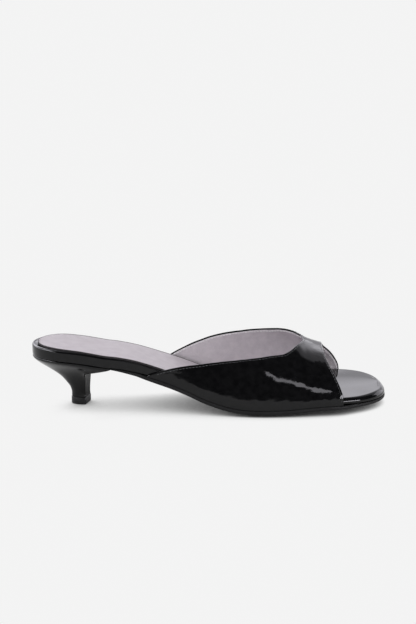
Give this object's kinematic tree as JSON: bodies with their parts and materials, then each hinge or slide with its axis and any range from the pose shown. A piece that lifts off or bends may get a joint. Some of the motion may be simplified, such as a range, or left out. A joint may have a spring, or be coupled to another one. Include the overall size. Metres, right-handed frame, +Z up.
{
  "type": "kitten heel mule",
  "caption": "Backless slip-on shoe with a low slim heel, a wrapped insole and a glossy band over the forefoot that leaves the toe open.",
  "frame": {"origin": "on the floor, under the middle of the whole shoe's box", "axes": "+X to the toe, +Z up, -Y to the outer side of the right foot"},
  "size_m": [0.2418, 0.0806, 0.047],
  "materials": {
    "outsole": "matt black sole, smooth edge",
    "board_cover": "black patent leather, wrapped round the edge",
    "sock": "fine matt leather, lilac grey",
    "upper": "black patent leather, mirror gloss, grey leather lining",
    "heel_cover": "black patent cover over a moulded heel",
    "top_piece": "hard black rubber"
  },
  "bodies": {
    "root": {"outsole": "outsole", "insole_board": "board_cover", "sock_lining": "sock", "upper": "upper", "heel": "heel_cover", "top_piece": "top_piece"}
  },
  "joints": []
}
